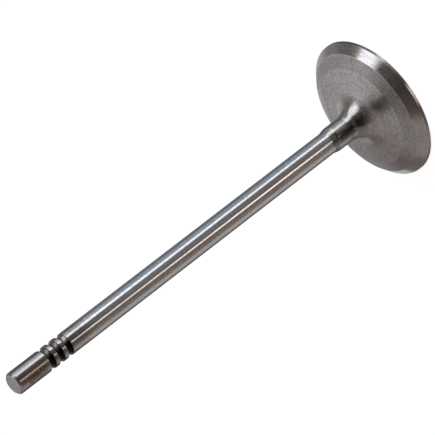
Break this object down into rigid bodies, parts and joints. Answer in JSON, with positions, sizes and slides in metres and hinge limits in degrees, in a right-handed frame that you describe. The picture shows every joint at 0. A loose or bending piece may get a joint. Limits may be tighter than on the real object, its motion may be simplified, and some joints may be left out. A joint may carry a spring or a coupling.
{
  "type": "engine valve",
  "caption": "Long-stemmed poppet valve of an engine: disc head with a conical ground seat, concave neck, ground stem with keeper grooves and a plain tip.",
  "frame": {"origin": "centre of the head's flat combustion face, on which the valve stands", "axes": "+Z along the stem from the head towards the tip; X and Y lie in the combustion face and are interchangeable"},
  "size_m": [0.051, 0.051, 0.1683],
  "materials": {
    "valve_steel": "stem polished, seat and tip ground, underside of the head satin"
  },
  "bodies": {
    "root": {"valve": "valve_steel"}
  },
  "joints": []
}
